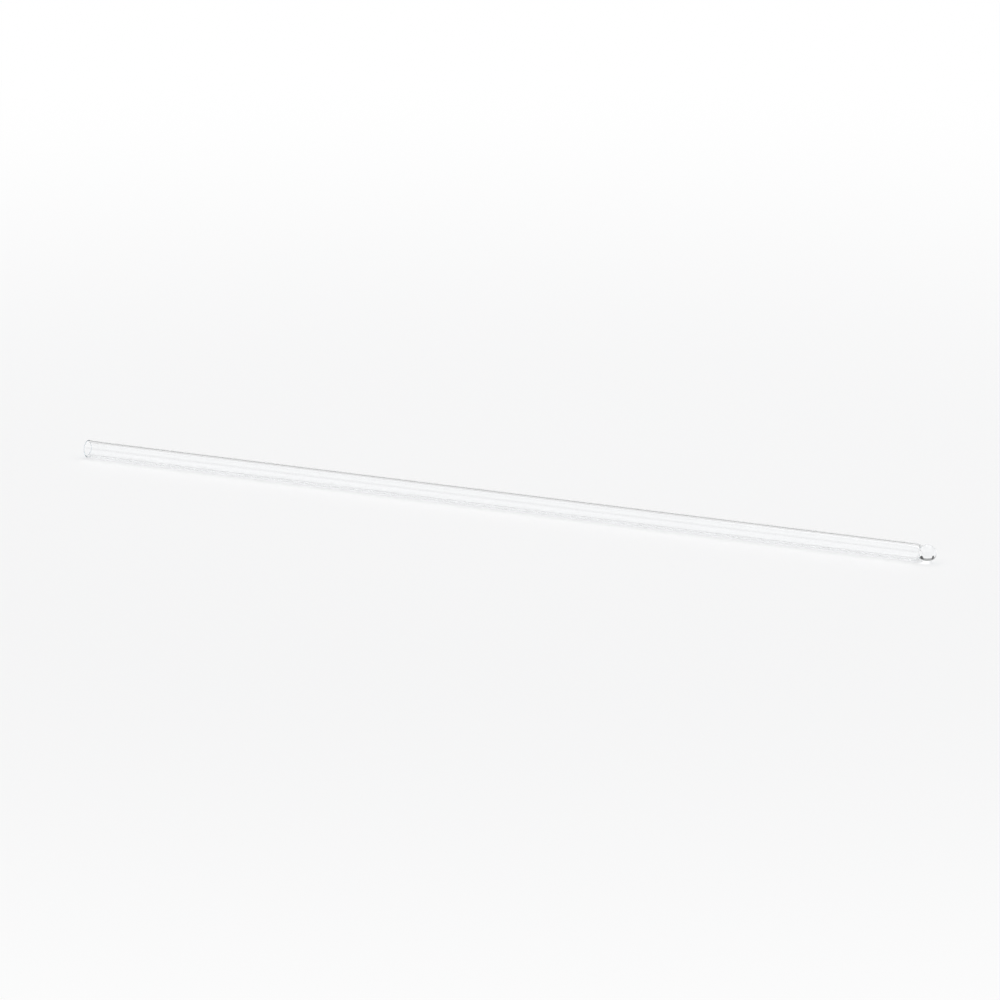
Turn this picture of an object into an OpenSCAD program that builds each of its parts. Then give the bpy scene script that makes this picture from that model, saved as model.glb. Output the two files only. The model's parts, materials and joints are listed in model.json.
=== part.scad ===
// Glass capillary tube, closed at one end.
// One piece of drawn glass that lies along X on the plane Z = 0, midway about the
// origin, with its sealed end towards +X and its open mouth towards -X. Millimetres.

/* [Tube] */
// Overall length, from the rim of the mouth to the tip of the sealed end
tube_length = 90; // [40:5:150]
// Outside diameter
outer_diameter = 1.65; // [1.3:0.05:3]
// Thickness of the wall along the straight part
wall = 0.2; // [0.12:0.01:0.3]

/* [Melted bead] */
// How far the round bead that closes the tube stands out beyond the straight wall
bead_swell = 0; // [0:0.01:0.5]
// How far the outside draws in from the straight wall to the neck behind the bead
neck_depth = 0.18; // [0.04:0.01:0.25]
// Radius of the hollow in which the neck meets the bead
neck_hollow = 0.265; // [0.1:0.005:1]
// Length over which the outside draws in, from the straight wall to the neck
shoulder_length = 0.81; // [0.6:0.01:4]

/* [Bottom of the bore] */
// Thickness of the glass at the closed tip, on the axis
seal_thickness = 1.15; // [0.8:0.05:2.5]
// Length over which the bore draws in, down to the centre of its round bottom
draw_length = 0.78; // [0.6:0.01:4]
// Radius of the round bottom of the bore
bottom_radius = 0.3; // [0.1:0.025:0.4]

/* [Open end] */
// Radius of the melted inner and outer edges of the rim
edge_radius = 0.05; // [0.02:0.01:0.08]

/* [Hidden] */
$fn = 96;

outer_radius = outer_diameter / 2;
bore_radius = outer_radius - wall;
bead_radius = outer_radius + bead_swell;
neck_radius = outer_radius - neck_depth;

// The profiles are drawn upright: X is the distance from the axis and Y the height,
// with the closed tip at 0 and the rim at -tube_length. From the tip down, the outside
// is the round bead, the hollow of the neck, the shoulder and the straight wall. Each
// runs smoothly into the next, and where two arcs meet, their centres and the point of
// contact lie on one line.
bead_height = -bead_radius;
hollow_centre = neck_radius + neck_hollow;
neck_height = bead_height
    - sqrt(pow(bead_radius + neck_hollow, 2) - pow(hollow_centre, 2));
shoulder_height = neck_height - shoulder_length;
shoulder_radius = (pow(shoulder_length, 2) + pow(hollow_centre - outer_radius, 2)
    - pow(neck_hollow, 2)) / (2 * (outer_radius - neck_radius));
bead_touch = bead_height
    - (bead_height - neck_height) * bead_radius / (bead_radius + neck_hollow);
shoulder_touch = shoulder_height
    + shoulder_length * shoulder_radius / (shoulder_radius + neck_hollow);

// The rim's edges are round from here down
rim_height = edge_radius - tube_length;

// The bore leaves its straight wall on a long arc and ends in a small one
bottom_height = -(seal_thickness + bottom_radius);
draw_height = bottom_height - draw_length;
draw_radius = (pow(draw_length, 2) + pow(bore_radius, 2) - pow(bottom_radius, 2))
    / (2 * (bore_radius - bottom_radius));
touch_height = bottom_height
    + draw_length * bottom_radius / (draw_radius - bottom_radius);

// Keeps the part of a profile that lies above a height, on the axis or right of it
module above(height) {
    intersection() {
        children();
        translate([0, height])
            square(tube_length);
    }
}

// Keeps the part of a profile that lies below a height, on the axis or right of it
module below(height) {
    intersection() {
        children();
        translate([0, height])
            mirror([0, 1])
                square(tube_length);
    }
}

// The outer skin and all it encloses, from the top of the rim's edges to the tip
module outside_profile() {
    below(shoulder_height)
        above(rim_height)
            translate([0, -tube_length])
                square([outer_radius, tube_length]);
    above(shoulder_height)
        below(shoulder_touch)
            translate([outer_radius, shoulder_height])
                translate([-shoulder_radius, 0])
                    circle(r = shoulder_radius, $fn = 4 * $fn);
    above(shoulder_touch)
        below(bead_touch)
            difference() {
                translate([0, -tube_length])
                    square([hollow_centre, tube_length]);
                translate([hollow_centre, neck_height])
                    circle(r = neck_hollow);
            }
    above(bead_touch)
        translate([0, bead_height])
            circle(r = bead_radius);
}

// The hollow: a straight bore, the long arc that draws it in and its round bottom
module bore_profile() {
    below(draw_height)
        above(rim_height)
            translate([0, -tube_length])
                square([bore_radius, tube_length]);
    above(draw_height)
        below(touch_height)
            translate([bore_radius, draw_height])
                translate([-draw_radius, 0])
                    circle(r = draw_radius, $fn = 4 * $fn);
    above(touch_height)
        translate([0, bottom_height])
            circle(r = bottom_radius);
}

// A quarter of a disc about the origin, turned so that it faces the given way
module quarter_disc(radius, facing) {
    rotate(facing)
        intersection() {
            circle(r = radius);
            square(2 * radius);
        }
}

// The rim of the mouth, with its inner and outer edges melted round
module rim_profile() {
    inner_edge = bore_radius + edge_radius;
    outer_edge = outer_radius - edge_radius;
    translate([inner_edge, -tube_length])
        square([outer_edge - inner_edge, edge_radius]);
    translate([inner_edge, rim_height])
        quarter_disc(edge_radius, 180);
    translate([outer_edge, rim_height])
        quarter_disc(edge_radius, -90);
}

// The glass to one side of the axis, from the rim to the closed tip
module glass_profile() {
    difference() {
        outside_profile();
        bore_profile();
    }
    rim_profile();
}

module capillary_tube() {
    color([0.86, 0.91, 0.93, 0.5])
        translate([tube_length / 2, 0, bead_radius])
            rotate([90, 0, 90])
                rotate_extrude()
                    glass_profile();
}

capillary_tube();
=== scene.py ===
import json
import math

import bmesh
import bpy
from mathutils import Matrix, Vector


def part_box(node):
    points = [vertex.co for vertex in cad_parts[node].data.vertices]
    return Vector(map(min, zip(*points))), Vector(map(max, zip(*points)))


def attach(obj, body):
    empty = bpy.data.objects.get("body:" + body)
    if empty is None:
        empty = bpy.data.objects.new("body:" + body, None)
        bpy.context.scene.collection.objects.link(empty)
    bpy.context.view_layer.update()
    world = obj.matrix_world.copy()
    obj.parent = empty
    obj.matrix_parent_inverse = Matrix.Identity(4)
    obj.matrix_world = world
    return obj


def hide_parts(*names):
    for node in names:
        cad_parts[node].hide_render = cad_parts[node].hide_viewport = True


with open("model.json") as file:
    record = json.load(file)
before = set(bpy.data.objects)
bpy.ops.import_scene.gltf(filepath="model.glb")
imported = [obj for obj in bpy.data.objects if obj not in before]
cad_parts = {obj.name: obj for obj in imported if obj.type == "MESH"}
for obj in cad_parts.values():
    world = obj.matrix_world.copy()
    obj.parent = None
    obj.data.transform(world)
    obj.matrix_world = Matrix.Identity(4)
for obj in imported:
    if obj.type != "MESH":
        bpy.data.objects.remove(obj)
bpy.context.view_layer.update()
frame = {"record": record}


# small helpers for node trees
def addNode(tree, kind, place=(0, 0), **settings):
    made = tree.nodes.new(kind)
    made.location = place
    for name, value in settings.items():
        setattr(made, name, value)
    return made


def newMaterial(name):
    material = bpy.data.materials.new(name)
    material.use_nodes = True
    tree = material.node_tree
    tree.nodes.clear()
    return material, tree


def greyRamp(tree, stops, place=(0, 0)):
    # stops are pairs of position and level
    ramp = addNode(tree, "ShaderNodeValToRGB", place)
    elements = ramp.color_ramp.elements
    while len(elements) < len(stops):
        elements.new(0.5)
    for element, (position, level) in zip(elements, stops):
        element.position = position
        element.color = (level, level, level, 1)
    return ramp


# the capillary tube: sealed end at +X, open mouth at -X
tube = {
    "name": "capillaryTube",
    "cadNode": "capillary_tube",
    "neckDepth": 0.00018,        # how far the neck behind the bead draws in from the wall
    "neckHollow": 0.000265,      # radius of the hollow where the neck meets the bead
    "shoulderLength": 0.00081,   # from the straight wall to the middle of the neck
    "sealThickness": 0.00115,    # glass on the axis at the closed tip
    "drawLength": 0.00078,       # over this the bore draws in to its round bottom
    "bottomRadius": 0.0003,      # round bottom of the bore
    "edgeRadius": 0.00005,       # melted edges of the rim
    "segments": 160,             # faces round the tube
    "straightRings": 60,         # rings along the straight wall
    "beadSteps": 56,             # steps along each arc of the profile
    "neckSteps": 14,
    "shoulderSteps": 28,
    "edgeSteps": 8,
    "drawSteps": 44,
    "bottomSteps": 26,
    "onAxis": 1e-9,              # a point nearer to the axis than this is a single vertex
}

boxLow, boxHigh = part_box(tube["cadNode"])
mounts = {mount["name"]: mount for mount in frame["record"]["mounts"]}
outerRadius = mounts["outer_wall"]["dims"]["r_mm"] / 1000
boreRadius = mounts["open_bore"]["dims"]["r_mm"] / 1000
beadRadius = (boxHigh.y - boxLow.y) / 2
mouthX, tipX = boxLow.x, boxHigh.x
axisZ = boxLow.z + beadRadius


def arc(centre, radius, startAngle, endAngle, steps):
    # points as (distance along the tube, distance from its axis)
    found = []
    for i in range(steps + 1):
        angle = startAngle + (endAngle - startAngle) * i / steps
        found.append((centre[0] + radius * math.cos(angle), centre[1] + radius * math.sin(angle)))
    return found


def straight(startX, endX, radius):
    # the inner points of a straight wall, without its two ends
    steps = tube["straightRings"]
    return [(startX + (endX - startX) * i / steps, radius) for i in range(1, steps)]


def outsideProfile():
    # from the tip: the bead, the hollow of the neck, the shoulder, the straight wall
    hollow, length, depth = tube["neckHollow"], tube["shoulderLength"], tube["neckDepth"]
    bead = (tipX - beadRadius, 0)
    hollowR = outerRadius - depth + hollow
    neck = (bead[0] - math.sqrt((beadRadius + hollow) ** 2 - hollowR ** 2), hollowR)
    shoulderRadius = (length ** 2 + (hollowR - outerRadius) ** 2 - hollow ** 2) / (2 * depth)
    shoulder = (neck[0] - length, outerRadius - shoulderRadius)
    beadTouch = math.atan2(neck[1] - bead[1], neck[0] - bead[0])
    shoulderTouch = math.atan2(neck[1] - shoulder[1], neck[0] - shoulder[0])
    points = arc(bead, beadRadius, 0, beadTouch, tube["beadSteps"])
    points += arc(neck, hollow, beadTouch - math.pi, shoulderTouch - math.pi, tube["neckSteps"])[1:]
    points += arc(shoulder, shoulderRadius, shoulderTouch, math.pi / 2, tube["shoulderSteps"])[1:]
    return points + straight(shoulder[0], mouthX + tube["edgeRadius"], outerRadius)


def rimProfile():
    # the melted outer and inner edges, with the flat ring between them
    edge, steps = tube["edgeRadius"], tube["edgeSteps"]
    outerEdge = arc((mouthX + edge, outerRadius - edge), edge, math.pi / 2, math.pi, steps)
    innerEdge = arc((mouthX + edge, boreRadius + edge), edge, math.pi, 1.5 * math.pi, steps)
    return outerEdge + innerEdge


def boreProfile():
    # from the mouth: the straight bore, the long arc that draws it in, its round bottom
    length, bottomRadius = tube["drawLength"], tube["bottomRadius"]
    bottom = (tipX - tube["sealThickness"] - bottomRadius, 0)
    drawRadius = (length ** 2 + boreRadius ** 2 - bottomRadius ** 2) / (2 * (boreRadius - bottomRadius))
    draw = (bottom[0] - length, boreRadius - drawRadius)
    touch = math.atan2(bottom[1] - draw[1], bottom[0] - draw[0])
    points = straight(mouthX + tube["edgeRadius"], draw[0], boreRadius)
    points += arc(draw, drawRadius, math.pi / 2, touch, tube["drawSteps"])
    return points + arc(bottom, bottomRadius, touch, 0, tube["bottomSteps"])[1:]


def buildTube():
    mesh = bmesh.new()
    segments = tube["segments"]
    rings = []
    for x, r in outsideProfile() + rimProfile() + boreProfile():
        if r < tube["onAxis"]:
            rings.append([mesh.verts.new((x, 0, axisZ))])
            continue
        ring = []
        for k in range(segments):
            turn = 2 * math.pi * k / segments
            ring.append(mesh.verts.new((x, r * math.cos(turn), axisZ + r * math.sin(turn))))
        rings.append(ring)
    for near, far in zip(rings, rings[1:]):
        for k in range(segments):
            j = (k + 1) % segments
            if len(near) == 1:
                mesh.faces.new((near[0], far[k], far[j]))
            elif len(far) == 1:
                mesh.faces.new((near[k], far[0], near[j]))
            else:
                mesh.faces.new((near[k], far[k], far[j], near[j]))
    bmesh.ops.recalc_face_normals(mesh, faces=mesh.faces)
    data = bpy.data.meshes.new(tube["name"])
    mesh.to_mesh(data)
    mesh.free()
    data.polygons.foreach_set("use_smooth", [True] * len(data.polygons))
    piece = bpy.data.objects.new(tube["name"], data)
    bpy.context.scene.collection.objects.link(piece)
    return piece


clearGlass = {
    "colour": (0.99, 0.993, 0.996, 1),
    "ior": 1.474,
    "absorbColour": (0.78, 0.86, 0.90, 1),    # what is left of light led along inside the wall
    "absorbDensity": 20.0,
    "drawLineScale": (12, 4200, 4200),        # lines of the drawing: long in X, fine across
    "drawLineOctaves": 3.0,
    "drawLineDepth": 0.0000006,
    "drawLineStrength": 0.4,
    "hazeScale": 320.0,                       # patches of about 3 mm
    "hazeOctaves": 4.0,
    "haze": [(0.52, 0.0), (0.8, 0.05)],       # levels of the noise and the roughness there
}


def makeClearGlass():
    material, tree = newMaterial("drawnGlass")
    output = addNode(tree, "ShaderNodeOutputMaterial", (600, 0))
    glass = addNode(tree, "ShaderNodeBsdfPrincipled", (250, 0))
    glass.inputs["Base Color"].default_value = clearGlass["colour"]
    glass.inputs["IOR"].default_value = clearGlass["ior"]
    glass.inputs["Transmission Weight"].default_value = 1.0
    glass.inputs["Metallic"].default_value = 0.0
    tree.links.new(glass.outputs["BSDF"], output.inputs["Surface"])

    absorb = addNode(tree, "ShaderNodeVolumeAbsorption", (250, -420))
    absorb.inputs["Color"].default_value = clearGlass["absorbColour"]
    absorb.inputs["Density"].default_value = clearGlass["absorbDensity"]
    tree.links.new(absorb.outputs["Volume"], output.inputs["Volume"])

    coordinates = addNode(tree, "ShaderNodeTexCoord", (-1100, 0))

    # long faint lines left by the drawing of the glass
    stretch = addNode(tree, "ShaderNodeMapping", (-900, -200))
    stretch.inputs["Scale"].default_value = clearGlass["drawLineScale"]
    drawLines = addNode(tree, "ShaderNodeTexNoise", (-700, -200))
    drawLines.inputs["Scale"].default_value = 1.0
    drawLines.inputs["Detail"].default_value = clearGlass["drawLineOctaves"]
    bump = addNode(tree, "ShaderNodeBump", (-100, -250))
    bump.inputs["Strength"].default_value = clearGlass["drawLineStrength"]
    bump.inputs["Distance"].default_value = clearGlass["drawLineDepth"]
    tree.links.new(coordinates.outputs["Object"], stretch.inputs["Vector"])
    tree.links.new(stretch.outputs["Vector"], drawLines.inputs["Vector"])
    tree.links.new(drawLines.outputs["Fac"], bump.inputs["Height"])
    tree.links.new(bump.outputs["Normal"], glass.inputs["Normal"])

    # handling leaves a faint haze in patches
    haze = addNode(tree, "ShaderNodeTexNoise", (-700, 100))
    haze.inputs["Scale"].default_value = clearGlass["hazeScale"]
    haze.inputs["Detail"].default_value = clearGlass["hazeOctaves"]
    hazeRamp = greyRamp(tree, clearGlass["haze"], (-450, 100))
    tree.links.new(coordinates.outputs["Object"], haze.inputs["Vector"])
    tree.links.new(haze.outputs["Fac"], hazeRamp.inputs["Fac"])
    tree.links.new(hazeRamp.outputs["Color"], glass.inputs["Roughness"])
    return material


capillaryTube = buildTube()
capillaryTube.data.materials.append(makeClearGlass())
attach(capillaryTube, "root")
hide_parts(tube["cadNode"])
print("capillary tube built, %d faces" % len(capillaryTube.data.polygons))


# the pale table under it
table = {
    "size": 6.0,
    "gap": 0.00002,                      # air under the tube
    "colour": (0.93, 0.931, 0.934, 1),
    "roughness": 0.9,
    "fadeStart": 0.05,                   # from here outwards the card turns to plain white
    "fadeEnd": 0.24,
    "white": (1, 1, 1, 1),
}


def makeTable():
    mesh = bmesh.new()
    bmesh.ops.create_grid(mesh, x_segments=1, y_segments=1, size=table["size"] / 2)
    data = bpy.data.meshes.new("tableTop")
    mesh.to_mesh(data)
    mesh.free()
    top = bpy.data.objects.new("tableTop", data)
    top.location = (0, 0, boxLow.z - table["gap"])
    bpy.context.scene.collection.objects.link(top)

    material, tree = newMaterial("paleCard")
    output = addNode(tree, "ShaderNodeOutputMaterial", (700, 0))
    card = addNode(tree, "ShaderNodeBsdfPrincipled", (100, 100))
    card.inputs["Base Color"].default_value = table["colour"]
    card.inputs["Roughness"].default_value = table["roughness"]
    card.inputs["Specular IOR Level"].default_value = 0.0
    white = addNode(tree, "ShaderNodeEmission", (100, -300))
    white.inputs["Color"].default_value = table["white"]
    coordinates = addNode(tree, "ShaderNodeTexCoord", (-900, -100))
    length = addNode(tree, "ShaderNodeVectorMath", (-700, -100), operation="LENGTH")
    away = addNode(tree, "ShaderNodeMapRange", (-500, -100), interpolation_type="SMOOTHSTEP")
    away.inputs["From Min"].default_value = table["fadeStart"]
    away.inputs["From Max"].default_value = table["fadeEnd"]

    # the white is seen directly, in reflections and through glass; scattered light finds the card
    path = addNode(tree, "ShaderNodeLightPath", (-700, -400))
    seen = addNode(tree, "ShaderNodeMath", (-500, -400), operation="MAXIMUM")
    seenAll = addNode(tree, "ShaderNodeMath", (-350, -400), operation="MAXIMUM")
    share = addNode(tree, "ShaderNodeMath", (-150, -250), operation="MULTIPLY")
    mix = addNode(tree, "ShaderNodeMixShader", (450, 0))
    tree.links.new(coordinates.outputs["Object"], length.inputs[0])
    tree.links.new(length.outputs["Value"], away.inputs["Value"])
    tree.links.new(path.outputs["Is Camera Ray"], seen.inputs[0])
    tree.links.new(path.outputs["Is Glossy Ray"], seen.inputs[1])
    tree.links.new(seen.outputs["Value"], seenAll.inputs[0])
    tree.links.new(path.outputs["Is Transmission Ray"], seenAll.inputs[1])
    tree.links.new(away.outputs["Result"], share.inputs[0])
    tree.links.new(seenAll.outputs["Value"], share.inputs[1])
    tree.links.new(share.outputs["Value"], mix.inputs["Fac"])
    tree.links.new(card.outputs["BSDF"], mix.inputs[1])
    tree.links.new(white.outputs["Emission"], mix.inputs[2])
    tree.links.new(mix.outputs["Shader"], output.inputs["Surface"])
    data.materials.append(material)


makeTable()
print("table laid")


# the room round it, and two soft lamps
studio = {
    # radiance of the room by height above the horizon, in degrees
    "levels": [(-90, 0.95), (9, 0.95), (11, 0.35), (26, 0.35), (33, 1.0), (90, 1.0)],
    # dark openings between its walls: bearing from +X and half width, in degrees
    "openings": [(86, 11), (147, 5)],
    "openingEdge": 3,                    # soft border, in degrees
    "openingLevel": 0.08,                # share of the room's light that is left in them
    # how much of an opening there is at each height
    "openingHeights": [(-4, 0), (-1, 1), (18, 1), (26, 0)],
    "directView": (1, 1, 1, 1),          # what the camera sees behind everything
    # light that enters an end of the glass is led on inside the wall to the other end
    "bounces": 400,
    # name, place, size and power of each softbox, all aimed at the middle of the tube
    "softboxes": [
        ("overheadSoftbox", (0.05, 0.30, 0.75), (0.9, 0.6), 1.1),
        ("frontSoftbox", (-0.45, -0.55, 0.55), (0.5, 0.5), 0.2),
    ],
}


def byHeight(pairs):
    # degrees above the horizon as places on a ramp, 0 straight down and 1 straight up
    return [((degrees + 90) / 180, level) for degrees, level in pairs]


def makeWorld():
    world = bpy.data.worlds.new("studio")
    bpy.context.scene.world = world
    world.use_nodes = True
    tree = world.node_tree
    tree.nodes.clear()
    output = addNode(tree, "ShaderNodeOutputWorld", (1200, 0))
    coordinates = addNode(tree, "ShaderNodeTexCoord", (-1000, 0))
    parts = addNode(tree, "ShaderNodeSeparateXYZ", (-800, 0))
    tree.links.new(coordinates.outputs["Generated"], parts.inputs["Vector"])

    # height above the horizon
    angle = addNode(tree, "ShaderNodeMath", (-600, 200), operation="ARCSINE")
    height = addNode(tree, "ShaderNodeMapRange", (-400, 200))
    height.inputs["From Min"].default_value = -math.pi / 2
    height.inputs["From Max"].default_value = math.pi / 2
    tree.links.new(parts.outputs["Z"], angle.inputs[0])
    tree.links.new(angle.outputs["Value"], height.inputs["Value"])
    wall = greyRamp(tree, byHeight(studio["levels"]), (-150, 300))
    tree.links.new(height.outputs["Result"], wall.inputs["Fac"])
    lowPart = greyRamp(tree, byHeight(studio["openingHeights"]), (-150, 50))
    tree.links.new(height.outputs["Result"], lowPart.inputs["Fac"])

    # bearing, from 0 at -X round by +X at the middle to 1
    turn = addNode(tree, "ShaderNodeMath", (-600, -200), operation="ARCTAN2")
    bearing = addNode(tree, "ShaderNodeMapRange", (-400, -200))
    bearing.inputs["From Min"].default_value = -math.pi
    bearing.inputs["From Max"].default_value = math.pi
    tree.links.new(parts.outputs["Y"], turn.inputs[0])
    tree.links.new(parts.outputs["X"], turn.inputs[1])
    tree.links.new(turn.outputs["Value"], bearing.inputs["Value"])
    edge = studio["openingEdge"]
    stops = [(0, 0)]
    for middle, half in studio["openings"]:
        for degrees, part in ((-half - edge, 0), (-half, 1), (half, 1), (half + edge, 0)):
            stops.append(((middle + degrees + 180) / 360, part))
    opening = greyRamp(tree, stops, (-150, -200))
    tree.links.new(bearing.outputs["Result"], opening.inputs["Fac"])

    gap = addNode(tree, "ShaderNodeMath", (150, -50), operation="MULTIPLY")
    tree.links.new(lowPart.outputs["Color"], gap.inputs[0])
    tree.links.new(opening.outputs["Color"], gap.inputs[1])
    shade = addNode(tree, "ShaderNodeMapRange", (320, -50))
    shade.inputs["To Min"].default_value = 1.0
    shade.inputs["To Max"].default_value = studio["openingLevel"]
    tree.links.new(gap.outputs["Value"], shade.inputs["Value"])
    level = addNode(tree, "ShaderNodeMath", (490, 100), operation="MULTIPLY")
    tree.links.new(wall.outputs["Color"], level.inputs[0])
    tree.links.new(shade.outputs["Result"], level.inputs[1])

    room = addNode(tree, "ShaderNodeBackground", (650, 100))
    white = addNode(tree, "ShaderNodeBackground", (650, -100))
    white.inputs["Color"].default_value = studio["directView"]
    path = addNode(tree, "ShaderNodeLightPath", (650, 450))
    mix = addNode(tree, "ShaderNodeMixShader", (950, 0))
    tree.links.new(level.outputs["Value"], room.inputs["Color"])
    tree.links.new(path.outputs["Is Camera Ray"], mix.inputs["Fac"])
    tree.links.new(room.outputs["Background"], mix.inputs[1])
    tree.links.new(white.outputs["Background"], mix.inputs[2])
    tree.links.new(mix.outputs["Shader"], output.inputs["Surface"])


def hangSoftbox(name, place, size, power):
    light = bpy.data.lights.new(name, "AREA")
    light.shape = "RECTANGLE"
    light.size, light.size_y = size
    light.energy = power
    lamp = bpy.data.objects.new(name, light)
    lamp.location = place
    lamp.rotation_euler = (-Vector(place)).to_track_quat("-Z", "Y").to_euler()
    bpy.context.scene.collection.objects.link(lamp)


makeWorld()
for softbox in studio["softboxes"]:
    hangSoftbox(*softbox)
print("room and %d softboxes set" % len(studio["softboxes"]))


# the camera: bearing and height in degrees, distances in metres, lens and sensor in millimetres
shot = {
    "azimuth": 30.0,
    "elevation": 12.5,
    "distance": 0.78,
    "lens": 305.0,
    "sensorWidth": 36.0,
    "clipStart": 0.01,
    "clipEnd": 50.0,
}


def makeCamera():
    camera = bpy.data.cameras.new("camera")
    holder = bpy.data.objects.new("camera", camera)
    bpy.context.scene.collection.objects.link(holder)
    azimuth, elevation = math.radians(shot["azimuth"]), math.radians(shot["elevation"])
    back = Vector((
        math.sin(azimuth) * math.cos(elevation),
        -math.cos(azimuth) * math.cos(elevation),
        math.sin(elevation),
    ))
    centre = (boxLow + boxHigh) / 2
    holder.location = centre + back * shot["distance"]
    holder.rotation_euler = (-back).to_track_quat("-Z", "Y").to_euler()
    camera.lens = shot["lens"]
    camera.sensor_width = shot["sensorWidth"]
    camera.clip_start = shot["clipStart"]
    camera.clip_end = shot["clipEnd"]
    bpy.context.scene.camera = holder


makeCamera()
scene = bpy.context.scene
scene.view_settings.view_transform = "Standard"
scene.cycles.blur_glossy = 0
scene.cycles.max_bounces = studio["bounces"]
scene.cycles.transmission_bounces = studio["bounces"]
scene.cycles.glossy_bounces = studio["bounces"]
